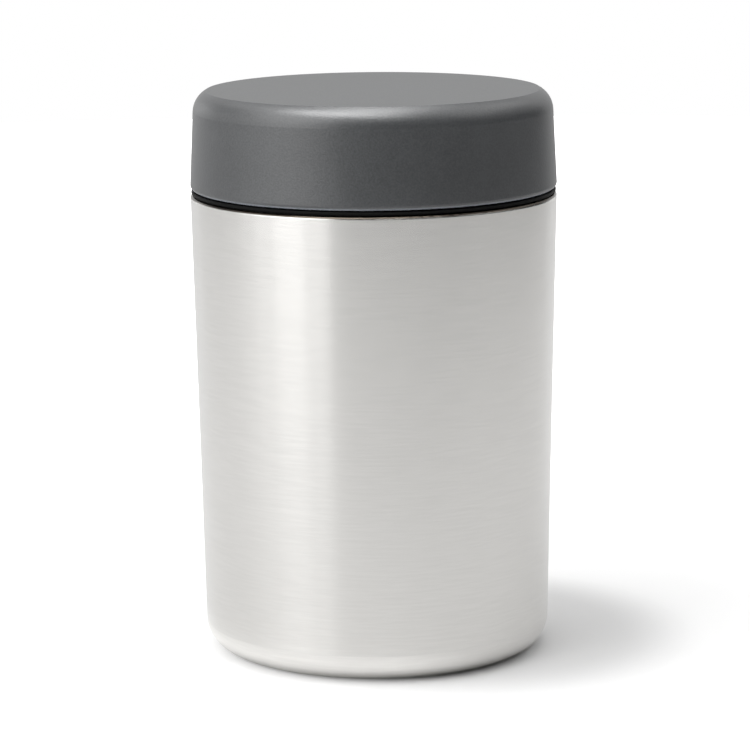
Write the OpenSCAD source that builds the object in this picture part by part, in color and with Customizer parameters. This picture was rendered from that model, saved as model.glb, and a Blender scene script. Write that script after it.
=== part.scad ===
// Insulated food jar: a double-walled steel jar with a screw-on lid.
// Every piece is a solid of its own, in its closed position.
// Millimetres, +Z up, the table is Z = 0 and the jar's axis is the Z axis.

/* [Jar wall] */
// Height of the ledge that the lid comes down to
ledge_z = 120.5; // [100:0.1:160]
// Outer radius of the wall at the ledge
shoulder_r = 47.7; // [46:0.1:60]
// How much narrower the tapered wall is at the table than at the ledge
taper = 2.6; // [1:0.1:4]
// Radius of the rounded corner between the wall and the foot
base_corner = 7.8; // [3:0.1:9]
// Radius of the small corner between the wall and the ledge
ledge_corner = 0.8; // [0.7:0.1:1.6]
// Thickness of the outer shell's steel
shell_t = 0.6; // [0.4:0.1:0.8]

/* [Neck and mouth] */
// Width of the ledge, from the wall in to the neck
ledge_w = 7.7; // [6.8:0.1:9]
// Height of the lip above the ledge
neck_h = 18; // [15:0.1:20]
// Fillet where the ledge turns up into the neck
neck_root = 1.5; // [1:0.1:2]
// Radius of the lip's edge on the inside, where one drinks or spoons
lip_round = 0.9; // [0.4:0.1:1]
// Vacuum space between the two walls in the neck
neck_space = 1.3; // [1:0.1:2]

/* [Liner and vacuum] */
// Thickness of the liner's steel
liner_t = 0.5; // [0.4:0.1:0.6]
// Vacuum space between the shell and the liner's wall
wall_space = 4; // [3:0.1:5]
// Vacuum space between the ledge and the liner's shoulder
shoulder_space = 2.6; // [2:0.1:4]
// Vacuum space between the base plate and the liner's floor
floor_space = 5; // [4:0.1:8]
// Radius of the corner between the liner's floor and its wall
liner_corner = 11; // [8:0.5:12]
// Width of the flat ring that is left between the bends of the liner's shoulder
shoulder_flat = 0.6; // [0.4:0.1:1]
// How far the middle of the floor is raised to stiffen it
floor_rise = 1.2; // [0.6:0.1:2]
// Width of the floor's flat ring, between its raised middle and its corner
floor_flat = 3.3; // [2:0.1:8]
// Thickness of the copper foil round the liner
foil_t = 0.1; // [0.1:0.05:0.2]
// Slack between the foil and the liner
foil_slack = 0.05; // [0.03:0.01:0.2]
// How far the foil's edges stay from the liner's bends
foil_margin = 5; // [2:0.5:15]

/* [Foot and base] */
// Width of the flat ring that the jar stands on
foot_flat = 1.6; // [1:0.1:3]
// Height of the foot's turned-up flange
foot_h = 4; // [3.5:0.1:6]
// Outer radius of the bend under the foot
foot_bend = 1.2; // [1:0.1:1.4]
// Thickness of the plate that closes the vacuum space
plate_t = 0.5; // [0.4:0.1:0.6]
// Inner radius of the bend at the plate's rim
plate_bend = 0.3; // [0.2:0.1:0.4]
// How high the plate's rim starts above the table
plate_rim_z = 1.4; // [1:0.1:2]
// Radius of the sealing dimple in the middle of the plate
dimple_r = 5.5; // [4:0.1:7]
// Depth of the sealing dimple
dimple_h = 1.5; // [1:0.1:2]
// Radius of the hole that the air is drawn out through
pump_hole_r = 1; // [0.6:0.1:1.5]
// How far the seal bead stands back from the dimple's wall
bead_gap = 0.8; // [0.3:0.1:1.5]
// Thickness of the cover under the base plate
cover_t = 0.5; // [0.4:0.1:0.6]
// How high the cover lies above the table
cover_z = 1; // [0.6:0.1:1.4]
// Clearance between the cover's rim and the plate's bend
cover_gap = 0.1; // [0.05:0.05:0.2]

/* [Getter] */
// Distance of the getter from the jar's axis
getter_x = 17; // [13:0.5:18]
// Radius of the getter's pellet
getter_r = 4; // [3:0.1:4.5]
// Height of the getter's pellet
getter_h = 2; // [1.5:0.1:2.5]
// Thickness of the strap that holds the getter
strap_t = 0.3; // [0.2:0.1:0.4]
// Width of the strap
strap_w = 4; // [3:0.1:5]
// Length of each of the strap's welded feet
strap_foot = 2.4; // [1.5:0.1:3]

/* [Lid] */
// Gap between the ledge and the inner cap's brim, the lowest part of the lid
lid_gap = 0.25; // [0.2:0.05:0.6]
// How far the lid's lower edge stands out past the shoulder
lid_overhang = 0.05; // [0:0.05:0.5]
// Slope of the lid's side, in degrees
lid_draft = 2.85; // [1:0.05:4]
// Radius of the soft edge round the lid's top
lid_top_round = 6.3; // [5:0.1:7]
// How far below the soft edge's full round the flat top cuts it off, which leaves a crease
lid_crease = 0.7; // [0.2:0.1:1]
// Radius of the lid's lower edge
lid_edge_round = 1.2; // [0.5:0.1:1.6]
// Thickness of the lid's side
lid_wall = 2.2; // [2:0.1:2.4]
// Thickness of the lid's top
lid_top = 2.4; // [2:0.1:2.6]
// Thickness of the foam between the inner cap and the lid's top
foam_t = 2.3; // [2:0.1:5]
// Width of the step that the inner cap's flange bears on
stop_w = 0.6; // [0.4:0.1:1]

/* [Inner cap] */
// Thickness of the inner cap's walls
cap_t = 1.8; // [1.5:0.1:2]
// Space between the neck and the skirt, which the thread takes up
thread_space = 1.5; // [1.2:0.1:1.6]
// How far the flange lies above the lid's lower edge
flange_lift = 0.5; // [0.3:0.1:1]
// Clearance between the flange and the lid's side
flange_gap = 0.05; // [0.05:0.05:0.2]
// Thickness of the brim that shows as a dark ring under the lid's lower edge
brim_t = 0.9; // [0.8:0.05:1.4]
// Radius of the brim's two outer edges
brim_round = 0.35; // [0.2:0.05:0.38]
// Groove between the brim and the lid's lower edge
brim_groove = 0.25; // [0.2:0.05:0.5]
// How far the brim stands back from the lid's lower edge
brim_inset = 0.3; // [0.1:0.05:0.6]
// How far the insulated plug reaches down into the mouth
plug_depth = 6; // [4:0.1:8]
// Clearance between the plug and the mouth
plug_gap = 1.2; // [1:0.1:2]
// Radius of the plug's lower edge
plug_round = 2; // [1:0.1:3]

/* [Seal] */
// Thickness of the silicone seal between the lip and the inner cap
seal_t = 2.4; // [2:0.1:2.6]
// Clearance between the seal and the plug
seal_gap = 0.3; // [0.1:0.1:0.5]
// How far the seal stands out past the lip
seal_overhang = 0.8; // [0.4:0.1:1]
// Height of the two ridges that press on the lip
ridge_h = 0.5; // [0.3:0.1:0.7]
// Width of each ridge
ridge_w = 0.8; // [0.5:0.1:0.9]

/* [Hidden] */
$fn = 96;

// A fillet's circle is drawn this much larger, so that it crosses its lines and doesn't just touch them
bite = 0.0003;
// How far a fillet's patch reaches into the material
patch_over = 0.2;

// Jar: the wall's taper, and its radius at any height
base_r = shoulder_r - taper;
wall_slope = taper / ledge_z;
wall_cos = cos(atan(wall_slope));
function wall_r(z) = base_r + wall_slope * z;
function inside_r(z, depth) = wall_r(z) - depth / wall_cos;

// Neck and lip
neck_r = shoulder_r - ledge_w;
lip_z = ledge_z + neck_h;
mouth_r = neck_r - shell_t - neck_space - liner_t;

// Liner, measured in from the shell
liner_depth = shell_t + wall_space;
floor_z = foot_h + floor_space;
liner_top_z = ledge_z - shell_t - shoulder_space;
function liner_r(z) = inside_r(z, liner_depth);
liner_neck_r = mouth_r + liner_t;
liner_shoulder = liner_r(liner_top_z) - liner_neck_r - neck_root - shoulder_flat;
floor_slope_w = 2 * floor_rise;
floor_rise_r = liner_r(floor_z) - liner_corner - floor_flat - floor_slope_w;
foil_low_z = floor_z + liner_corner + foil_margin;
foil_high_z = liner_top_z - liner_shoulder - foil_margin;

// Foot, base plate and the cover under it
foot_r = base_r - base_corner - foot_flat - foot_bend;
plate_z = foot_h - plate_t;
cover_r = foot_r - plate_t - plate_bend - cover_gap;

// Lid
lid_r = shoulder_r + lid_overhang;
brim_z = ledge_z + lid_gap;
lid_z = brim_z + brim_t + brim_groove;
ceiling_z = lip_z + seal_t;
lid_roof_z = ceiling_z + cap_t + foam_t;
lid_top_z = lid_roof_z + lid_top;
function lid_side_r(z) = lid_r - (z - lid_z) * tan(lid_draft);

// Inner cap
skirt_r = neck_r + thread_space;
flange_z = lid_z + flange_lift;
flange_r = lid_side_r(flange_z + cap_t) - lid_wall - flange_gap;
plug_r = mouth_r - plug_gap;
plug_z = lip_z - plug_depth;

// ---- Drawing ----

function unit(v) = v / norm(v);
function turn(a, b, c) = cross(b - a, c - b);

// The area between a corner of an outline and the round that replaces it
module corner_patch(a, b, c, r) {
    u = unit(a - b);
    v = unit(c - b);
    half = acos(u * v) / 2;
    centre = b + unit(u + v) * r / sin(half);
    reach = 1 + patch_over / r;
    t1 = b + u * r / tan(half);
    t2 = b + v * r / tan(half);
    difference() {
        polygon([
            centre,
            centre + (t1 - centre) * reach,
            centre + (b - centre) * reach,
            centre + (t2 - centre) * reach
        ]);
        translate(centre) circle(r + bite);
    }
}

// An outline whose corners are [x, y, radius], anticlockwise, with true arcs at its corners
module rounded(corners) {
    n = len(corners);
    points = [for (p = corners) [p[0], p[1]]];
    function before(i) = points[(i + n - 1) % n];
    function after(i) = points[(i + 1) % n];
    function bend(i) = turn(before(i), points[i], after(i));
    difference() {
        union() {
            polygon(points);
            for (i = [0 : n - 1])
                if (corners[i][2] > 0 && bend(i) < 0)
                    corner_patch(after(i), points[i], before(i), corners[i][2]);
        }
        for (i = [0 : n - 1])
            if (corners[i][2] > 0 && bend(i) > 0)
                corner_patch(before(i), points[i], after(i), corners[i][2]);
    }
}

module turned(corners) {
    rotate_extrude() rounded(corners);
}

// ---- Jar ----

// One drawn shell: foot flange, foot, tapered wall, ledge and neck
module outer_shell() {
    neck_top_z = lip_z - liner_t;
    color("silver") turned([
        [foot_r, foot_h, 0],
        [foot_r, 0, foot_bend],
        [base_r, 0, base_corner],
        [shoulder_r, ledge_z, ledge_corner],
        [neck_r, ledge_z, neck_root],
        [neck_r, neck_top_z, 0],
        [neck_r - shell_t, neck_top_z, 0],
        [neck_r - shell_t, ledge_z - shell_t, neck_root + shell_t],
        [inside_r(ledge_z - shell_t, shell_t), ledge_z - shell_t, ledge_corner - shell_t],
        [inside_r(shell_t, shell_t), shell_t, base_corner - shell_t],
        [foot_r + shell_t, shell_t, foot_bend - shell_t],
        [foot_r + shell_t, foot_h, 0]
    ]);
}

// The cup that holds the food: raised floor, wall, shoulder, neck, and a rim turned out over the shell
module inner_liner() {
    color("gainsboro") turned([
        [0, floor_z + floor_rise, 0],
        [floor_rise_r, floor_z + floor_rise, floor_rise],
        [floor_rise_r + floor_slope_w, floor_z, floor_rise],
        [liner_r(floor_z), floor_z, liner_corner],
        [liner_r(liner_top_z), liner_top_z, liner_shoulder],
        [liner_neck_r, liner_top_z, neck_root],
        [liner_neck_r, lip_z - liner_t, lip_round - liner_t],
        [neck_r, lip_z - liner_t, 0],
        [neck_r, lip_z, liner_t / 2],
        [mouth_r, lip_z, lip_round],
        [mouth_r, liner_top_z - liner_t, neck_root + liner_t],
        [
            inside_r(liner_top_z - liner_t, liner_depth + liner_t),
            liner_top_z - liner_t,
            liner_shoulder - liner_t
        ],
        [
            inside_r(floor_z + liner_t, liner_depth + liner_t),
            floor_z + liner_t,
            liner_corner - liner_t
        ],
        [floor_rise_r + floor_slope_w, floor_z + liner_t, floor_rise + liner_t],
        [floor_rise_r, floor_z + floor_rise + liner_t, floor_rise],
        [0, floor_z + floor_rise + liner_t, 0]
    ]);
}

// Copper foil wound round the liner, which sends heat back
module foil_shield() {
    low_r = liner_r(foil_low_z) + foil_slack;
    high_r = liner_r(foil_high_z) + foil_slack;
    color("peru") turned([
        [low_r, foil_low_z, 0],
        [low_r + foil_t, foil_low_z, 0],
        [high_r + foil_t, foil_high_z, 0],
        [high_r, foil_high_z, 0]
    ]);
}

// The pan that closes the vacuum space, welded by its rim into the foot's flange
module base_plate() {
    color("darkgray") turned([
        [pump_hole_r, plate_z + dimple_h, 0],
        [dimple_r, plate_z + dimple_h, dimple_h / 2 - plate_t / 2],
        [dimple_r, plate_z, 0],
        [foot_r - plate_t, plate_z, plate_bend],
        [foot_r - plate_t, plate_rim_z, 0],
        [foot_r, plate_rim_z, 0],
        [foot_r, plate_z + plate_t, plate_bend + plate_t],
        [dimple_r + plate_t, plate_z + plate_t, 0],
        [dimple_r + plate_t, plate_z + dimple_h + plate_t, dimple_h / 2],
        [pump_hole_r, plate_z + dimple_h + plate_t, 0]
    ]);
}

// Melted into the dimple once the air is out, down from the hole that it closes
module seal_bead() {
    bead_r = dimple_r - bead_gap;
    color("slategray") turned([
        [0, plate_z, 0],
        [bead_r, plate_z, dimple_h / 2],
        [bead_r, plate_z + dimple_h, 0],
        [pump_hole_r, plate_z + dimple_h, 0],
        [pump_hole_r, plate_z + dimple_h + plate_t, 0],
        [0, plate_z + dimple_h + plate_t, 0]
    ]);
}

// The thin pan that hides the plate and its seal from below
module base_cover() {
    color("silver") turned([
        [0, cover_z, 0],
        [cover_r, cover_z, 2 * cover_t],
        [cover_r, plate_z, 0],
        [cover_r - cover_t, plate_z, 0],
        [cover_r - cover_t, cover_z + cover_t, cover_t],
        [0, cover_z + cover_t, 0]
    ]);
}

// Takes up what gas is left in the vacuum space
module getter_pellet() {
    color("dimgray") translate([getter_x, 0, foot_h]) cylinder(r = getter_r, h = getter_h);
}

// A strap bent over the pellet, with a foot welded to the plate on each side
module getter_strap() {
    half = getter_r + strap_t;
    color("lightgray") translate([getter_x, strap_w / 2, foot_h]) rotate([90, 0, 0])
        linear_extrude(strap_w) difference() {
            union() {
                translate([-half - strap_foot, 0]) square([2 * (half + strap_foot), strap_t]);
                translate([-half, 0]) square([2 * half, getter_h + strap_t]);
            }
            translate([-getter_r, -strap_t]) square([2 * getter_r, getter_h + strap_t]);
        }
}

// ---- Lid ----

// The moulded outer cap, with a step inside that the inner cap's flange bears on
module lid_shell() {
    flange_top_z = flange_z + cap_t;
    inside = lid_wall + stop_w;
    round_z = lid_top_z + lid_crease;
    color("dimgray") rotate_extrude() difference() {
        rounded([
            [0, lid_roof_z, 0],
            [lid_side_r(lid_roof_z) - inside, lid_roof_z, lid_top_round - lid_top],
            [lid_side_r(flange_top_z) - inside, flange_top_z, 0],
            [flange_r + flange_gap, flange_top_z, 0],
            [flange_r + flange_gap, lid_z, 0],
            [lid_r, lid_z, lid_edge_round],
            [lid_side_r(round_z), round_z, lid_top_round],
            [0, round_z, 0]
        ]);
        translate([0, lid_top_z]) square([lid_r, 2 * lid_crease]);
    }
}

// The inner cap: plug, seal seat, threaded skirt, and a flange whose brim shows under the lid's edge
module inner_cap() {
    skirt_out_r = skirt_r + cap_t;
    brim_in_r = flange_r - cap_t;
    brim_r = lid_r - brim_inset;
    color([0.12, 0.12, 0.13]) turned([
        [0, plug_z, 0],
        [plug_r, plug_z, plug_round],
        [plug_r, ceiling_z, 0],
        [skirt_r, ceiling_z, 0],
        [skirt_r, flange_z, 0],
        [brim_in_r, flange_z, 0],
        [brim_in_r, brim_z, 0],
        [brim_r, brim_z, brim_round],
        [brim_r, brim_z + brim_t, brim_round],
        [flange_r, brim_z + brim_t, 0],
        [flange_r, flange_z + cap_t, 0],
        [skirt_out_r, flange_z + cap_t, cap_t / 2],
        [skirt_out_r, ceiling_z + cap_t, cap_t / 2],
        [plug_r - cap_t, ceiling_z + cap_t, cap_t / 2],
        [plug_r - cap_t, plug_z + cap_t, cap_t / 2],
        [0, plug_z + cap_t, 0]
    ]);
}

// Foam that fills the plug and lies under the lid's roof
module lid_foam() {
    foam_r = lid_side_r(lid_roof_z) - lid_wall - stop_w - (lid_top_round - lid_top);
    round_over = cap_t / 2;
    color("ivory") turned([
        [0, plug_z + cap_t, 0],
        [plug_r - cap_t, plug_z + cap_t, round_over],
        [plug_r - cap_t, ceiling_z + cap_t, round_over],
        [foam_r, ceiling_z + cap_t, 0],
        [foam_r, lid_roof_z, 0],
        [0, lid_roof_z, 0]
    ]);
}

// The ring that the lid presses down on the lip, with two ridges on its lower face
module silicone_seal() {
    seal_in_r = plug_r + seal_gap;
    seal_out_r = neck_r + seal_overhang;
    body_z = lip_z + ridge_h;
    lip_mid_r = (mouth_r + lip_round + neck_r - liner_t / 2) / 2;
    color("whitesmoke") rotate_extrude() {
        rounded([
            [seal_in_r, body_z, ridge_h / 2],
            [seal_out_r, body_z, ridge_h / 2],
            [seal_out_r, ceiling_z, 0],
            [seal_in_r, ceiling_z, 0]
        ]);
        for (side = [-1, 1])
            translate([lip_mid_r + side * ridge_w / 2, lip_z]) square([ridge_w / 3, 2 * ridge_h]);
    }
}

outer_shell();
inner_liner();
foil_shield();
base_plate();
seal_bead();
base_cover();
getter_pellet();
getter_strap();
lid_shell();
inner_cap();
lid_foam();
silicone_seal();
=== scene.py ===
"""Looks of an insulated food jar with a screw lid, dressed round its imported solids.

The solids keep their shapes and get finishes made of nodes. The threads of the neck and of the
inner cap are modelled here. Lengths are in metres, +Z is up, and the jar stands on Z = 0 with its
axis on the Z axis.
"""

import logging
import math
from collections.abc import Callable
from dataclasses import dataclass, field
from enum import Enum

import bpy
from mathutils import Matrix, Vector


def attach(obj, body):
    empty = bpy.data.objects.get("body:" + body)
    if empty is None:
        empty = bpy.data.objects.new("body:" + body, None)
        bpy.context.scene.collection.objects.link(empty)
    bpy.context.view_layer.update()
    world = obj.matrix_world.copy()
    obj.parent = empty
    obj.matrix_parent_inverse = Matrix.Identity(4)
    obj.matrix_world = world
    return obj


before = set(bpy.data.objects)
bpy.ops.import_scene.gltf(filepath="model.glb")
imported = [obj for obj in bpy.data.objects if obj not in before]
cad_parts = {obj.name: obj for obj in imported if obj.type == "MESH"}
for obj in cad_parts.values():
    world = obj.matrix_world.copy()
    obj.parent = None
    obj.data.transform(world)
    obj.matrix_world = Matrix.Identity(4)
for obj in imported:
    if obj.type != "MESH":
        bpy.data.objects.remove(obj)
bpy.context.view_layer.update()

MM = 0.001
HAIR = 0.01 * MM  # points that are closer than this are at the same place
WHITE = (1.0, 1.0, 1.0, 1.0)
LOG = logging.getLogger("food_jar")

Colour = tuple[float, float, float]
Triple = tuple[float, float, float]
Span = tuple[float, float]


class Body(Enum):
    """The rigid bodies that new pieces ride on."""

    JAR = "jar"
    LID = "lid"


class Slot(Enum):
    """The record's material slots."""

    STEEL = "brushed_steel_shell"
    CAP = "dark_cap_plastic"


# ---- Shader maths ----


class Wire:
    """A value or colour in a node tree. Python's operators on a value add Math nodes."""

    def __init__(self, graph: "Graph", socket: bpy.types.NodeSocket | None) -> None:
        """Keeps the graph and the socket that the value comes out of."""
        self.graph = graph
        self.socket = socket

    def _math(self, operation: str, first: "Wire | float", second: "Wire | float") -> "Wire":
        """Adds a Math node.

        Args:
            operation: The Math node's operation.
            first: Its first value.
            second: Its second value.

        Returns:
            The node's value.
        """
        return self.graph.add("ShaderNodeMath", {"operation": operation}, {0: first, 1: second})

    def __add__(self, other: "Wire | float") -> "Wire":
        """The sum of both."""
        return self._math("ADD", self, other)

    def __radd__(self, other: float) -> "Wire":
        """The sum of both, with a number first."""
        return self._math("ADD", other, self)

    def __sub__(self, other: "Wire | float") -> "Wire":
        """This less the other."""
        return self._math("SUBTRACT", self, other)

    def __rsub__(self, other: float) -> "Wire":
        """A number less this."""
        return self._math("SUBTRACT", other, self)

    def __mul__(self, other: "Wire | float") -> "Wire":
        """The product of both."""
        return self._math("MULTIPLY", self, other)

    def __rmul__(self, other: float) -> "Wire":
        """The product of both, with a number first."""
        return self._math("MULTIPLY", other, self)


class Graph:
    """A node tree with one method that makes any node, and the patterns that finishes share."""

    def __init__(self, tree: bpy.types.NodeTree) -> None:
        """Empties the tree.

        Args:
            tree: The node tree of a material or of the world.
        """
        self.tree = tree
        self.tree.nodes.clear()

    def add(
        self,
        kind: str,
        settings: dict[str, object] | None = None,
        sockets: dict[str | int, object] | None = None,
        out: str | int = 0,
    ) -> Wire:
        """Makes a node, sets it, and then fills its sockets.

        Args:
            kind: The node's type.
            settings: Its own properties.
            sockets: Values or wires for its inputs, by name or number.
            out: Which output to return.

        Returns:
            The chosen output, or a wire with no socket for a node that has none.
        """
        node = self.tree.nodes.new(kind)
        for key, value in (settings or {}).items():
            setattr(node, key, value)
        for key, value in (sockets or {}).items():
            if isinstance(value, Wire):
                self.tree.links.new(value.socket, node.inputs[key])
            else:
                node.inputs[key].default_value = value
        return Wire(self, node.outputs[out] if len(node.outputs) else None)

    def place(self) -> Wire:
        """The point on the piece, in metres."""
        return self.add("ShaderNodeTexCoord", out="Object")

    def axis(self, letter: str) -> Wire:
        """One coordinate of the point on the piece.

        Args:
            letter: X, Y or Z.

        Returns:
            That coordinate in metres.
        """
        return self.add("ShaderNodeSeparateXYZ", sockets={"Vector": self.place()}, out=letter)

    def length(self, vector: Wire) -> Wire:
        """The length of a vector."""
        return self.add("ShaderNodeVectorMath", {"operation": "LENGTH"}, {0: vector}, "Value")

    def radius(self) -> Wire:
        """How far the point on the piece lies from the Z axis, in metres."""
        sockets = {0: self.place(), 1: (1.0, 1.0, 0.0)}
        return self.length(self.add("ShaderNodeVectorMath", {"operation": "MULTIPLY"}, sockets))

    def noise(self, scale: Triple, detail: float = 2.0, roughness: float = 0.5) -> Wire:
        """Clouds that may be drawn out along one way.

        Args:
            scale: How many clouds to a metre along X, Y and Z.
            detail: How many finer layers there are.
            roughness: How strong the finer layers are.

        Returns:
            A value from 0 to 1, mostly near 0.5.
        """
        where = self.add("ShaderNodeMapping", sockets={"Vector": self.place(), "Scale": scale})
        sockets = {"Vector": where, "Scale": 1.0, "Detail": detail, "Roughness": roughness}
        return self.add("ShaderNodeTexNoise", {"noise_dimensions": "3D"}, sockets)

    def cells(self, per_metre: float, feature: str = "F1") -> Wire:
        """Distance to the nearest of scattered points, or to the edge between two of them.

        Args:
            per_metre: How many cells there are to a metre.
            feature: The Voronoi node's feature.

        Returns:
            The distance, from 0 to about 1.
        """
        sockets = {"Vector": self.place(), "Scale": per_metre}
        return self.add("ShaderNodeTexVoronoi", {"feature": feature}, sockets)

    def ramp(self, value: Wire, low: float, high: float) -> Wire:
        """A smooth step.

        Args:
            value: What is measured.
            low: Where the step starts, at 0.
            high: Where it ends, at 1.

        Returns:
            A mask from 0 to 1.
        """
        settings = {"interpolation_type": "SMOOTHSTEP", "clamp": True}
        sockets = {"Value": value, "From Min": low, "From Max": high}
        return self.add("ShaderNodeMapRange", settings, sockets)

    def blend(self, mask: Wire, first: Colour | Wire, second: Colour | Wire) -> Wire:
        """A mix of two colours.

        Args:
            mask: 0 for the first colour, 1 for the second.
            first: The first colour.
            second: The second colour.

        Returns:
            The mixed colour.
        """
        sockets: dict[str | int, object] = {0: mask}
        for key, end in ((6, first), (7, second)):
            sockets[key] = end if isinstance(end, Wire) else (*end, 1.0)
        return self.add("ShaderNodeMix", {"data_type": "RGBA"}, sockets, 2)

    def bump(self, height: Wire, depth: float, strength: float = 1.0) -> Wire:
        """A relief on the surface.

        Args:
            height: The relief, from 0 to 1.
            depth: How deep the relief is, in metres.
            strength: How much of it shows.

        Returns:
            The normal for a shader.
        """
        sockets = {"Height": height, "Distance": depth, "Strength": strength}
        return self.add("ShaderNodeBump", sockets=sockets)


# ---- Finishes ----


@dataclass(frozen=True)
class Finish:
    """What every finish has. A kind of finish adds its own pattern in `pattern`."""

    name: str
    colour: Colour
    roughness: float

    def shade(self, factor: float) -> Colour:
        """A lighter or darker version of the finish's colour."""
        return tuple(min(1.0, channel * factor) for channel in self.colour)

    def uniform(self) -> dict[str, object]:
        """The Principled sockets that are the same all over the surface."""
        return {}

    def pattern(self, graph: Graph) -> dict[str, Wire]:
        """The Principled sockets that change over the surface.

        Args:
            graph: The material's graph.

        Returns:
            Wires by socket name.
        """
        raise NotImplementedError

    def material(self) -> bpy.types.Material:
        """Makes the finish as a material."""
        made = bpy.data.materials.new(self.name)
        made.use_nodes = True
        graph = Graph(made.node_tree)
        shader = graph.add(
            "ShaderNodeBsdfPrincipled", sockets={**self.uniform(), **self.pattern(graph)}
        )
        graph.add("ShaderNodeOutputMaterial", sockets={"Surface": shader})
        return made


@dataclass(frozen=True)
class BrushedSteel(Finish):
    """Stainless steel brushed round the jar.

    If a height is given for it, the steel's outer corner above that height is tinted dark brown:
    painted shade and a painted dark reflection under the lid's edge.
    """

    anisotropy: float = 0.8
    anisotropy_turn: float = 0.25
    stroke_length: float = 9.0 * MM
    stroke_width: float = 0.42 * MM
    stroke_detail: float = 1.5
    fine_share: float = 0.8
    tones: Span = (0.32, 0.68)
    contrast: float = 0.026
    clouds: Triple = (34.0, 34.0, 30.0)
    stroke_dulls: float = 0.004
    cloud_dulls: float = 0.008
    relief: float = 0.00001 * MM
    relief_strength: float = 0.6
    # painted shade under the lid's edge: its colour, the height and radius where it starts, and its
    # soft edge
    painted_shade_tint: Colour = (0.06, 0.05, 0.04)
    painted_shade_z: float | None = None
    painted_shade_r: float = 46.7 * MM
    painted_shade_fade: float = 0.3 * MM

    def uniform(self) -> dict[str, object]:
        """Metal whose gloss is drawn out across the brush strokes."""
        return {
            "Metallic": 1.0,
            "Anisotropic": self.anisotropy,
            "Anisotropic Rotation": self.anisotropy_turn,
        }

    def pattern(self, graph: Graph) -> dict[str, Wire]:
        """Fine and broad strokes round the jar, in colour, gloss and relief.

        Args:
            graph: The material's graph.

        Returns:
            Wires by socket name.
        """
        along, across = 1.0 / self.stroke_length, 1.0 / self.stroke_width
        fine = graph.noise((along, along, across), self.stroke_detail)
        broad = graph.noise((along / 4, along / 4, across / 2))
        strokes = fine * self.fine_share + broad * (1.0 - self.fine_share)
        cloud = graph.noise(self.clouds)
        dark, pale = self.shade(1.0 - self.contrast), self.shade(1.0 + self.contrast)
        colour = graph.blend(graph.ramp(strokes, *self.tones), dark, pale)
        # painted shade: the outer corner under the lid's edge is darkened brown
        if self.painted_shade_z is not None:
            high = graph.ramp(graph.axis("Z"), self.painted_shade_z, self.painted_shade_z + self.painted_shade_fade)
            wide = graph.ramp(graph.radius(), self.painted_shade_r, self.painted_shade_r + self.painted_shade_fade)
            colour = graph.blend(high * wide, colour, self.painted_shade_tint)
        glossiest = self.roughness - (self.stroke_dulls + self.cloud_dulls) / 2
        return {
            "Base Color": colour,
            "Roughness": glossiest + strokes * self.stroke_dulls + cloud * self.cloud_dulls,
            "Normal": graph.bump(fine, self.relief, self.relief_strength),
        }


@dataclass(frozen=True)
class MouldedPlastic(Finish):
    """Plastic moulded in a spark-eroded tool, which leaves a fine even grain.

    If `edge_z` is given, the edge at that height is glossier, and paler with a painted highlight.
    """

    specular: float = 0.5
    grain: float = 2000.0
    clouds: float = 60.0
    grain_share: float = 0.6
    tones: Span = (0.3, 0.7)
    contrast: float = 0.2
    grain_dulls: float = 0.1
    cloud_dulls: float = 0.04
    relief: float = 0.045 * MM
    relief_strength: float = 0.8
    edge_z: float | None = None
    edge_fade: Span = (0.15 * MM, 0.8 * MM)
    # the colour of the painted highlight along the edge
    painted_highlight_colour: Colour = (0.34, 0.365, 0.41)
    edge_gloss: float = 0.12

    def uniform(self) -> dict[str, object]:
        """How strongly the plastic mirrors light."""
        return {"Specular IOR Level": self.specular}

    def pattern(self, graph: Graph) -> dict[str, Wire]:
        """A grain of small pits, and soft clouds of gloss and tone.

        Args:
            graph: The material's graph.

        Returns:
            Wires by socket name.
        """
        pits = graph.noise((self.grain,) * 3, detail=1.0)
        cloud = graph.noise((self.clouds,) * 3, detail=3.0)
        mixed = cloud * (1.0 - self.grain_share) + pits * self.grain_share
        dark, pale = self.shade(1.0 - self.contrast), self.shade(1.0 + self.contrast)
        colour = graph.blend(graph.ramp(mixed, *self.tones), dark, pale)
        glossiest = self.roughness - (self.grain_dulls + self.cloud_dulls) / 2
        rough = glossiest + pits * self.grain_dulls + cloud * self.cloud_dulls
        if self.edge_z is not None:
            low, high = self.edge_fade
            edge = 1.0 - graph.ramp(graph.axis("Z"), self.edge_z + low, self.edge_z + high)
            # painted highlight: the edge is paler; its lower roughness is real gloss
            colour = graph.blend(edge, colour, self.painted_highlight_colour)
            rough = rough - edge * self.edge_gloss
        return {
            "Base Color": colour,
            "Roughness": rough,
            "Normal": graph.bump(pits, self.relief, self.relief_strength),
        }


@dataclass(frozen=True)
class CopperFoil(Finish):
    """Soft copper foil with small creases and slight tarnish."""

    creases: float = 180.0
    crease_width: float = 0.12
    crease_depth: float = 0.08 * MM
    patches: float = 40.0
    patch_edge: Span = (0.45, 0.75)
    tarnish_tone: float = 0.7
    tarnish_dulls: float = 0.15

    def uniform(self) -> dict[str, object]:
        """Plain metal."""
        return {"Metallic": 1.0}

    def pattern(self, graph: Graph) -> dict[str, Wire]:
        """Creases where the foil was wrapped, and darker tarnish in patches.

        Args:
            graph: The material's graph.

        Returns:
            Wires by socket name.
        """
        creases = graph.ramp(graph.cells(self.creases, "DISTANCE_TO_EDGE"), 0.0, self.crease_width)
        patches = graph.noise((self.patches,) * 3, detail=4.0, roughness=0.6)
        tarnish = graph.ramp(patches, *self.patch_edge)
        return {
            "Base Color": graph.blend(tarnish, self.colour, self.shade(self.tarnish_tone)),
            "Roughness": self.roughness + tarnish * self.tarnish_dulls,
            "Normal": graph.bump(creases, self.crease_depth),
        }


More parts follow.
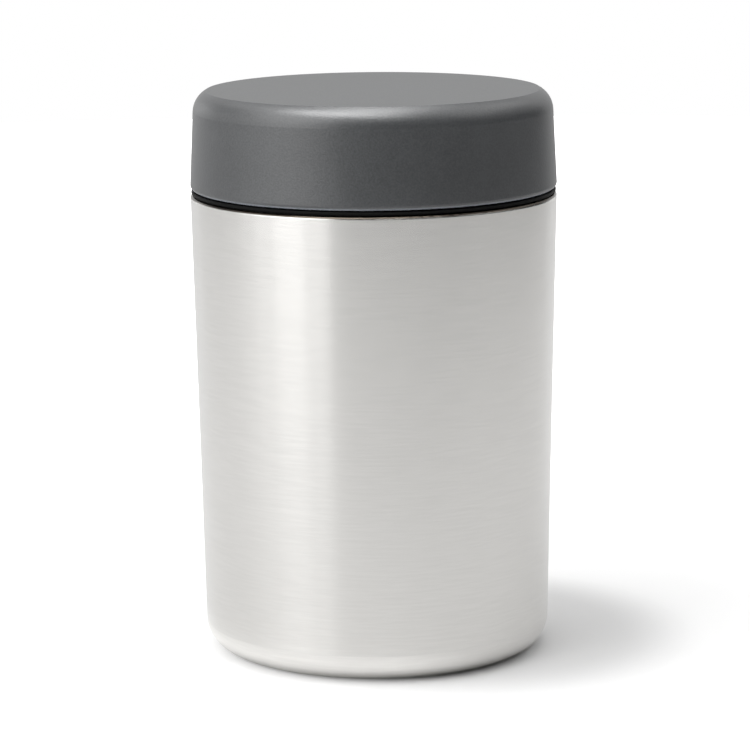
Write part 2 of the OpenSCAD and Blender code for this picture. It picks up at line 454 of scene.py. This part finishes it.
@dataclass(frozen=True)
class MeltedGlass(Finish):
    """A bead of glass solder, with a few bubbles under its gloss."""

    bubbles: float = 1500.0
    bubble_edge: Span = (0.1, 0.25)
    bubble_depth: float = 0.05 * MM
    streaks: float = 300.0
    tones: Span = (0.7, 1.4)
    streak_dulls: float = 0.08

    def pattern(self, graph: Graph) -> dict[str, Wire]:
        """Bubbles and streaks in the melt.

        Args:
            graph: The material's graph.

        Returns:
            Wires by socket name.
        """
        bubbles = graph.ramp(graph.cells(self.bubbles), *self.bubble_edge)
        flow = graph.noise((self.streaks,) * 3, detail=3.0)
        dark, pale = self.tones
        return {
            "Base Color": graph.blend(flow, self.shade(dark), self.shade(pale)),
            "Roughness": self.roughness + flow * self.streak_dulls,
            "Normal": graph.bump(bubbles, self.bubble_depth),
        }


@dataclass(frozen=True)
class SinteredAlloy(Finish):
    """Pressed and sintered metal grains."""

    metal: float = 0.6
    grains: float = 3500.0
    tones: Span = (1.4, 0.5)
    grain_gloss: float = 0.1
    relief: float = 0.06 * MM

    def uniform(self) -> dict[str, object]:
        """Dull metal."""
        return {"Metallic": self.metal}

    def pattern(self, graph: Graph) -> dict[str, Wire]:
        """Grains that stand apart.

        Args:
            graph: The material's graph.

        Returns:
            Wires by socket name.
        """
        grain = graph.cells(self.grains)
        middle, rim = self.tones
        return {
            "Base Color": graph.blend(grain, self.shade(middle), self.shade(rim)),
            "Roughness": self.roughness - grain * self.grain_gloss,
            "Normal": graph.bump(grain, self.relief),
        }


@dataclass(frozen=True)
class CastFoam(Finish):
    """Closed-cell foam, with a skin of small cells."""

    cell: float = 1400.0
    cell_share: float = 0.6
    relief: float = 0.12 * MM
    patches: float = 45.0
    aged_tone: float = 0.78
    aged_gloss: float = 0.08

    def pattern(self, graph: Graph) -> dict[str, Wire]:
        """Cells, and uneven tone from ageing.

        Args:
            graph: The material's graph.

        Returns:
            Wires by socket name.
        """
        cells = graph.cells(self.cell)
        age = graph.noise((self.patches,) * 3, detail=3.0)
        mixed = cells * self.cell_share + age * (1.0 - self.cell_share)
        return {
            "Base Color": graph.blend(mixed, self.colour, self.shade(self.aged_tone)),
            "Roughness": self.roughness - age * self.aged_gloss,
            "Normal": graph.bump(cells, self.relief),
        }


@dataclass(frozen=True)
class Silicone(Finish):
    """Milky silicone rubber that lets some light in."""

    milkiness: float = 0.45
    light_reach: float = 1.2 * MM
    reach_by_colour: Colour = (1.0, 0.95, 0.85)
    specular: float = 0.4
    clouds: float = 120.0
    tones: Span = (0.93, 1.04)
    cloud_dulls: float = 0.12
    marks: Triple = (20.0, 20.0, 3000.0)
    relief: float = 0.01 * MM
    relief_strength: float = 0.5

    def uniform(self) -> dict[str, object]:
        """Light that scatters a little way in."""
        return {
            "Subsurface Weight": self.milkiness,
            "Subsurface Radius": self.reach_by_colour,
            "Subsurface Scale": self.light_reach,
            "Specular IOR Level": self.specular,
        }

    def pattern(self, graph: Graph) -> dict[str, Wire]:
        """Faint flow clouds, and turning marks from the mould.

        Args:
            graph: The material's graph.

        Returns:
            Wires by socket name.
        """
        flow = graph.noise((self.clouds,) * 3, detail=3.0)
        dark, pale = self.tones
        return {
            "Base Color": graph.blend(flow, self.shade(dark), self.shade(pale)),
            "Roughness": self.roughness + flow * self.cloud_dulls,
            "Normal": graph.bump(graph.noise(self.marks), self.relief, self.relief_strength),
        }


# ---- Modelling ----


class Bench:
    """Where new pieces are shaped with Blender's own operators."""

    def __init__(self, name: str) -> None:
        """Lets go of everything that is selected.

        Args:
            name: The name of the piece that is made.
        """
        self.name = name
        bpy.ops.object.select_all(action="DESELECT")
        self.piece: bpy.types.Object | None = None

    def take(self) -> bpy.types.Object:
        """Names the primitive that was just added, and puts its place into its mesh.

        Returns:
            The new piece, in object mode.
        """
        self.piece = bpy.context.object
        self.piece.name = self.piece.data.name = self.name
        bpy.ops.object.transform_apply(location=True, rotation=True, scale=True)
        return self.piece

    def select(self, kept: Callable[[Vector], bool]) -> None:
        """Selects the vertices that pass a test, with what lies between them, in edit mode.

        Args:
            kept: The test on a vertex's place.
        """
        bpy.ops.object.mode_set(mode="EDIT")
        bpy.ops.mesh.select_mode(type="VERT")
        bpy.ops.mesh.select_all(action="DESELECT")
        bpy.ops.object.mode_set(mode="OBJECT")
        for vertex in self.piece.data.vertices:
            vertex.select = kept(vertex.co)
        bpy.ops.object.mode_set(mode="EDIT")

    def modify(self, kind: str, **settings: object) -> None:
        """Adds a modifier, sets it and applies it.

        Args:
            kind: The modifier's type.
            **settings: Its properties.
        """
        bpy.ops.object.mode_set(mode="OBJECT")
        bpy.ops.object.modifier_add(type=kind)
        modifier = self.piece.modifiers[-1]
        for key, value in settings.items():
            setattr(modifier, key, value)
        bpy.ops.object.modifier_apply(modifier=modifier.name)

    def turn(self, degrees: float) -> None:
        """Turns what is selected in edit mode about the jar's axis."""
        bpy.ops.transform.rotate(
            value=math.radians(degrees),
            orient_axis="Z",
            orient_type="GLOBAL",
            center_override=(0.0, 0.0, 0.0),
        )

    def smooth(self, degrees: float) -> None:
        """Shades the piece smooth, apart from edges sharper than an angle."""
        bpy.ops.object.mode_set(mode="OBJECT")
        bpy.ops.object.shade_smooth_by_angle(angle=math.radians(degrees))

    def copy_turned(self, name: str, degrees: float) -> bpy.types.Object:
        """Copies the piece with its own mesh, and turns the copy about the jar's axis.

        Args:
            name: The copy's name.
            degrees: How far it turns.

        Returns:
            The copy, in object mode.
        """
        bpy.ops.object.mode_set(mode="OBJECT")
        bpy.ops.object.select_all(action="DESELECT")
        self.piece.select_set(True)
        bpy.context.view_layer.objects.active = self.piece
        bpy.ops.object.duplicate(linked=False)
        copy = bpy.context.object
        copy.name = copy.data.name = name
        bpy.ops.object.mode_set(mode="EDIT")
        bpy.ops.mesh.select_all(action="SELECT")
        self.turn(degrees)
        bpy.ops.object.mode_set(mode="OBJECT")
        return copy


@dataclass
class Thread:
    """A two-start right-hand thread of rounded ridges, outside a neck or inside a skirt.

    Angles are in degrees. A ridge's foot is sunk into its wall, and both its ends run out into it.
    """

    name: str
    root_r: float
    crest_r: float
    low_z: float
    lead: float = 12.0 * MM
    width: float = 2.6 * MM
    crest_width: float = 0.9 * MM
    crest_round: float = 0.4 * MM
    sunk: float = 0.25 * MM
    start: float = 20.0
    turn: float = 285.0
    step: float = 2.5
    run_out: float = 26.0
    end_depth: float = 0.1 * MM
    skin: float = 0.05 * MM
    sharp: float = 45.0

    def build(self) -> list[bpy.types.Object]:
        """Makes both ridges.

        Returns:
            The two ridges.
        """
        bench = Bench(f"{self.name}_a")
        self._profile(bench)
        rings = round(self.turn / self.step)
        bench.modify(
            "SCREW",
            axis="Z",
            angle=math.radians(self.turn),
            screw_offset=self.lead * self.turn / 360.0,
            steps=rings,
            render_steps=rings,
            use_smooth_shade=True,
            use_normal_calculate=True,
        )
        self._fade_ends(bench, rings)
        bpy.ops.mesh.select_all(action="DESELECT")
        bpy.ops.mesh.select_non_manifold(extend=False)
        bpy.ops.mesh.fill_holes(sides=0)
        bpy.ops.mesh.select_all(action="SELECT")
        bpy.ops.mesh.normals_make_consistent(inside=False)
        bench.turn(self.start)
        bench.smooth(self.sharp)
        return [bench.piece, bench.copy_turned(f"{self.name}_b", 180.0)]

    def _wall_side(self) -> float:
        """Which way the wall lies from the ridge's crest: -1 for a neck, 1 for a skirt."""
        return math.copysign(1.0, self.root_r - self.crest_r)

    def _profile(self, bench: Bench) -> None:
        """Draws the ridge's rounded outline, in the plane through the jar's axis.

        Args:
            bench: Where the ridge is shaped.
        """
        foot_r = self.root_r + self._wall_side() * self.sunk
        middle = ((foot_r + self.crest_r) / 2, 0.0, self.low_z)
        bpy.ops.mesh.primitive_plane_add(
            size=1.0, location=middle, rotation=(math.pi / 2, 0.0, 0.0)
        )
        bench.take()
        bench.select(lambda point: True)
        bpy.ops.transform.resize(
            value=(abs(self.crest_r - foot_r), 1.0, self.width), center_override=middle
        )
        bench.select(lambda point: abs(point.x - self.crest_r) < HAIR)
        bpy.ops.transform.resize(
            value=(1.0, 1.0, self.crest_width / self.width), center_override=middle
        )
        bpy.ops.mesh.bevel(
            offset=self.crest_round, offset_type="OFFSET", segments=4, affect="VERTICES"
        )
        bench.select(lambda point: True)
        bpy.ops.mesh.delete(type="ONLY_FACE")

    def _fade_ends(self, bench: Bench, rings: int) -> None:
        """Lets the ridge die away into its wall at both ends.

        Args:
            bench: Where the ridge is shaped.
            rings: How many steps the ridge has.
        """
        gone = (self.root_r + self._wall_side() * self.end_depth) / self.crest_r
        count = round(self.run_out / self.step)
        for index in range(count):
            share = 1.0 - index / count
            scale = 1.0 + (gone - 1.0) * share * share * (3.0 - 2.0 * share)
            for ring in (index, rings - index):
                at = math.radians(ring * self.turn / rings)
                way = Vector((math.cos(at), math.sin(at)))
                bench.select(lambda point: self._on_ring(point, way))
                bpy.ops.transform.resize(
                    value=(scale, scale, 1.0), center_override=(0.0, 0.0, 0.0)
                )

    def _on_ring(self, point: Vector, way: Vector) -> bool:
        """Whether a vertex stands out of the wall on the ring at an angle.

        Args:
            point: The vertex's place.
            way: The ring's direction from the axis.

        Returns:
            True for a vertex of the ridge's crest and sides.
        """
        flat = Vector((point.x, point.y))
        if flat.normalized().dot(way) < math.cos(math.radians(self.step / 3)):
            return False
        return (flat.length - self.root_r) * self._wall_side() < self.skin


# ---- Sub-assemblies ----


def dress(nodes: dict[str, Finish]) -> None:
    """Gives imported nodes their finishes.

    Args:
        nodes: A finish for each node's name.
    """
    for name, finish in nodes.items():
        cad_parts[name].material_slots[0].material = finish.material()
        LOG.info("%s: %s", name, finish.name)


def fit(
    pieces: list[bpy.types.Object], body: Body, material: bpy.types.Material
) -> None:
    """Gives new pieces their body, slot and material.

    Args:
        pieces: The new pieces.
        body: The body that they ride on.
        material: Their material.
    """
    for piece in pieces:
        piece.data.materials.clear()
        piece.data.materials.append(material)
        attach(piece, body.value)
        LOG.info("%s rides on %s", piece.name, body.value)


@dataclass
class SteelJar:
    """The double-walled jar: shell, liner, and what closes and keeps the vacuum."""

    ledge_z: float = 120.5 * MM
    # how far below the ledge the painted shade on the steel's corner starts
    painted_shade_drop: float = 0.7 * MM
    neck_r: float = 40.0 * MM
    thread_height: float = 1.05 * MM
    thread_low_z: float = 125.6 * MM
    shell_colour: Colour = (0.74, 0.73, 0.71)
    liner_colour: Colour = (0.78, 0.78, 0.77)
    foil_colour: Colour = (0.80, 0.45, 0.30)
    plate_colour: Colour = (0.66, 0.66, 0.65)
    glass_colour: Colour = (0.16, 0.17, 0.19)
    cover_colour: Colour = (0.72, 0.71, 0.70)
    getter_colour: Colour = (0.25, 0.25, 0.26)
    strap_colour: Colour = (0.62, 0.62, 0.62)
    pieces: list[bpy.types.Object] = field(default_factory=list)

    def build(self) -> None:
        """Models the thread that is rolled into the neck."""
        crest = self.neck_r + self.thread_height
        self.pieces = Thread("neck_thread", self.neck_r, crest, self.thread_low_z).build()

    def dress(self) -> None:
        """Gives the jar's nodes and its thread their finishes."""
        neck = BrushedSteel(
            "neck_steel", self.shell_colour, roughness=0.2, anisotropy=0.5, relief=0.003 * MM
        )
        fit(self.pieces, Body.JAR, neck.material())
        painted_shade_z = self.ledge_z - self.painted_shade_drop
        dress(
            {
                "outer_shell": BrushedSteel(
                    "shell_steel", self.shell_colour, roughness=0.24, painted_shade_z=painted_shade_z
                ),
                "inner_liner": BrushedSteel(
                    "liner_steel", self.liner_colour, roughness=0.2, anisotropy=0.5
                ),
                "foil_shield": CopperFoil("copper_foil", self.foil_colour, roughness=0.22),
                "base_plate": BrushedSteel(
                    "plate_steel", self.plate_colour, roughness=0.36, stroke_width=0.6 * MM
                ),
                "seal_bead": MeltedGlass("glass_solder", self.glass_colour, roughness=0.12),
                "base_cover": BrushedSteel("cover_steel", self.cover_colour, roughness=0.3),
                "getter_pellet": SinteredAlloy(
                    "getter_alloy", self.getter_colour, roughness=0.75
                ),
                "getter_strap": BrushedSteel(
                    "strap_steel",
                    self.strap_colour,
                    roughness=0.35,
                    anisotropy=0.3,
                    stroke_width=1.0 * MM,
                ),
            }
        )


@dataclass
class ScrewLid:
    """The lid: outer cap, inner cap with its thread, foam and seal."""

    edge_z: float = 121.9 * MM
    skirt_r: float = 41.5 * MM
    thread_height: float = 1.05 * MM
    thread_low_z: float = 124.25 * MM
    thread_width: float = 2.2 * MM
    thread_crest: float = 0.7 * MM
    thread_turn: float = 230.0
    lid_colour: Colour = (0.052, 0.055, 0.058)
    cap_colour: Colour = (0.006, 0.006, 0.006)
    foam_colour: Colour = (0.85, 0.83, 0.76)
    seal_colour: Colour = (0.78, 0.78, 0.76)
    pieces: list[bpy.types.Object] = field(default_factory=list)

    def build(self) -> None:
        """Models the thread inside the inner cap's skirt."""
        thread = Thread(
            "cap_thread",
            self.skirt_r,
            self.skirt_r - self.thread_height,
            self.thread_low_z,
            width=self.thread_width,
            crest_width=self.thread_crest,
            turn=self.thread_turn,
        )
        self.pieces = thread.build()

    def dress(self) -> None:
        """Gives the lid's nodes and its thread their finishes."""
        cap = MouldedPlastic(
            "cap_plastic", self.cap_colour, roughness=0.55, specular=0.05, relief=0.006 * MM
        )
        fit(self.pieces, Body.LID, cap.material())
        dress(
            {
                "lid_shell": MouldedPlastic(
                    "lid_plastic",
                    self.lid_colour,
                    roughness=0.38,
                    specular=0.85,
                    edge_z=self.edge_z,
                ),
                "inner_cap": cap,
                "lid_foam": CastFoam("cap_foam", self.foam_colour, roughness=0.85),
                "silicone_seal": Silicone("seal_silicone", self.seal_colour, roughness=0.34),
            }
        )


# ---- Camera and studio ----


@dataclass(frozen=True)
class Viewpoint:
    """The camera. Angles are in radians, and the lens and its sensor are in millimetres."""

    place: Triple = (0.0, -899.91 * MM, 241.07 * MM)
    down: float = 0.18584
    turn: float = 0.00008
    roll: float = -0.00877
    lens: float = 167.03
    sensor: float = 36.0
    clip: Span = (0.01, 20.0)

    def build(self) -> None:
        """Makes the scene's camera."""
        data = bpy.data.cameras.new("viewpoint")
        data.lens, data.sensor_width = self.lens, self.sensor
        data.clip_start, data.clip_end = self.clip
        camera = bpy.data.objects.new("viewpoint", data)
        bpy.context.scene.collection.objects.link(camera)
        camera.matrix_world = (
            Matrix.Translation(self.place)
            @ Matrix.Rotation(self.turn, 4, "Z")
            @ Matrix.Rotation(math.pi / 2 - self.down, 4, "X")
            @ Matrix.Rotation(self.roll, 4, "Z")
        )
        bpy.context.scene.camera = camera


@dataclass(frozen=True)
class Lamp:
    """A soft box that faces the jar. Its azimuth is 0 on the camera's side and grows to the right.

    Angles are in degrees. `gloss_only` keeps the lamp to what is mirrored in the jar.
    """

    name: str
    azimuth: float
    elevation: float
    distance: float
    width: float
    height: float
    radiance: float
    up: Triple = (0.0, 0.0, 1.0)
    aim_z: float = 0.075
    gloss_only: bool = False

    def build(self) -> None:
        """Makes the lamp at its place, turned to the jar."""
        data = bpy.data.lights.new(self.name, "AREA")
        data.shape, data.size, data.size_y = "RECTANGLE", self.width, self.height
        data.energy = self.radiance * math.pi * self.width * self.height
        lamp = bpy.data.objects.new(self.name, data)
        bpy.context.scene.collection.objects.link(lamp)
        side, rise = math.radians(self.azimuth), math.radians(self.elevation)
        level = math.cos(rise)
        back = Vector((math.sin(side) * level, -math.cos(side) * level, math.sin(rise)))
        right = Vector(self.up).cross(back).normalized()
        turned = Matrix((right, back.cross(right), back)).transposed().to_4x4()
        place = Vector((0.0, 0.0, self.aim_z)) + back * self.distance
        lamp.matrix_world = Matrix.Translation(place) @ turned
        lamp.visible_camera = False
        lamp.visible_diffuse = not self.gloss_only


@dataclass(frozen=True)
class Studio:
    """A white floor, soft boxes, and grey surroundings that are white behind the jar.

    Glows are added to the floor for some rays only, where 1 is white. A Span says where a soft
    edge starts and ends, and `dark_way` is the direction towards the dark side.
    """

    floor_r: float = 1.25
    floor_sides: int = 128
    paper: float = 0.77
    paper_contrast: float = 0.01
    fibres: float = 900.0
    shadow_place: Triple = (-0.027, -0.0068, 0.0)
    shadow_scale: Triple = (1.0, 0.85, 1.0)
    near_glow: float = 0.27
    near_edge: Span = (0.036, 0.064)
    far_edge: Span = (0.07, 0.25)
    foot_glow: float = 0.28
    foot_inner: Span = (0.041, 0.045)
    foot_outer: Span = (0.046, 0.073)
    foot_right: Span = (0.0, 0.04)
    back_glow: float = 0.05
    back_edge: Span = (0.15, 0.6)
    ambient: float = 0.197
    behind: float = 0.61
    behind_lean: float = 0.35
    behind_edge: Span = (0.65, 0.85)
    behind_top: Span = (0.45, 0.9)
    dark_way: tuple[float, float] = (0.87, -0.5)
    dark_edge: Span = (0.0, 0.3)
    dark_top: Span = (0.2, 0.4)
    lamps: tuple[Lamp, ...] = (
        Lamp("left_edge", -34.5, 22.0, 2.4, 0.63, 2.1, 1.8),
        Lamp("left_box", -54.0, 22.0, 2.4, 1.02, 2.1, 2.82),
        Lamp("mid_box", -73.0, 22.0, 2.4, 0.59, 2.1, 1.95),
        Lamp("side_box", -86.0, 22.0, 2.4, 0.5, 2.1, 1.27),
        Lamp("far_box", -101.0, 22.0, 2.4, 0.76, 2.1, 0.73),
        Lamp("left_low", -130.0, 9.0, 2.2, 1.5, 0.75, 0.79),
        Lamp("left_high", -105.0, 50.0, 1.7, 1.6, 0.6, 1.15),
        Lamp("canopy", -14.0, 81.7, 1.2, 1.33, 1.55, 1.51, up=(0.0, 1.0, 0.0)),
        Lamp("rim_shine", -56.0, 66.0, 1.0, 0.5, 0.3, 10.9, gloss_only=True),
        Lamp("top_shine", 0.0, 80.0, 0.94, 0.35, 0.9, 5.7, up=(0.0, 1.0, 0.0), gloss_only=True),
        Lamp("right_high", 102.0, 47.0, 1.7, 1.7, 0.75, 1.59),
        Lamp("right_mid", 105.0, 24.0, 1.9, 2.4, 0.55, 0.3),
    )

    def build(self) -> None:
        """Makes the floor, the lamps and the world."""
        self._floor()
        for lamp in self.lamps:
            lamp.build()
        self._world()

    def _camera_glow(self, graph: Graph) -> Wire:
        """What the camera sees on the floor besides its light: none in the jar's own shadow.

        Args:
            graph: The floor's graph.

        Returns:
            The glow's strength.
        """
        shadow = {
            "Vector": graph.place(),
            "Location": self.shadow_place,
            "Scale": self.shadow_scale,
        }
        across = graph.length(graph.add("ShaderNodeMapping", sockets=shadow))
        near = graph.ramp(across, *self.near_edge) * self.near_glow
        return near + graph.ramp(across, *self.far_edge)

    def _foot_glow(self, graph: Graph) -> Wire:
        """What the jar's foot mirrors of the floor besides its light: a ring close to the foot.

        Args:
            graph: The floor's graph.

        Returns:
            The glow's strength, which is none on the side of the shadow.
        """
        outward = graph.radius()
        ring = graph.ramp(outward, *self.foot_inner) * (1.0 - graph.ramp(outward, *self.foot_outer))
        return ring * (1.0 - graph.ramp(graph.axis("X"), *self.foot_right)) * self.foot_glow

    def _paper(self) -> bpy.types.Material:
        """White paper that keeps the jar's shadow, and is plain white for the camera away from it.

        Returns:
            The material.
        """
        made = bpy.data.materials.new("floor_paper")
        made.use_nodes = True
        graph = Graph(made.node_tree)
        camera = graph.add("ShaderNodeLightPath", out="Is Camera Ray")
        mirror = graph.add("ShaderNodeLightPath", out="Is Glossy Ray")
        through = graph.add("ShaderNodeLightPath", out="Is Transmission Ray")
        back = graph.ramp(graph.axis("Y"), *self.back_edge) * self.back_glow
        glow = camera * self._camera_glow(graph) + mirror * self._foot_glow(graph)
        glow = glow + (mirror + through) * back
        dark = self.paper * (1.0 - self.paper_contrast)
        pale = self.paper * (1.0 + self.paper_contrast)
        colour = graph.blend(graph.noise((self.fibres,) * 3), (dark,) * 3, (pale,) * 3)
        matt = graph.add("ShaderNodeBsdfDiffuse", sockets={"Color": colour})
        light = graph.add("ShaderNodeEmission", sockets={"Color": WHITE, "Strength": glow})
        both = graph.add("ShaderNodeAddShader", sockets={0: matt, 1: light})
        graph.add("ShaderNodeOutputMaterial", sockets={"Surface": both})
        return made

    def _floor(self) -> None:
        """The table top that the jar stands on."""
        bench = Bench("floor")
        bpy.ops.mesh.primitive_circle_add(
            vertices=self.floor_sides, radius=self.floor_r, fill_type="NGON"
        )
        floor = bench.take()
        floor.data.materials.append(self._paper())

    def _world(self) -> None:
        """Grey light, brighter low behind the jar, dark low on its right, white for the camera."""
        world = bpy.data.worlds.new("studio")
        bpy.context.scene.world = world
        world.use_nodes = True
        graph = Graph(world.node_tree)
        camera = graph.add("ShaderNodeLightPath", out="Is Camera Ray")
        across, away, up = (graph.axis(letter) for letter in "XYZ")
        back = graph.ramp(away + up * self.behind_lean, *self.behind_edge)
        back = back * (1.0 - graph.ramp(up, *self.behind_top))
        right = across * self.dark_way[0] + away * self.dark_way[1]
        dark = graph.ramp(right, *self.dark_edge) * (1.0 - graph.ramp(up, *self.dark_top))
        level = back * self.behind + (1.0 - dark) * self.ambient
        seen = camera * (1.0 - level) + level
        sky = graph.add("ShaderNodeBackground", sockets={"Color": WHITE, "Strength": seen})
        graph.add("ShaderNodeOutputWorld", sockets={"Surface": sky})


def main() -> None:
    """Builds the camera, the jar, the lid and the studio."""
    logging.basicConfig(level=logging.INFO, format="%(name)s: %(message)s")
    bpy.context.scene.view_settings.view_transform = "Standard"
    Viewpoint().build()
    for part in (SteelJar(), ScrewLid()):
        part.build()
        part.dress()
    Studio().build()


if __name__ == "__main__":
    main()
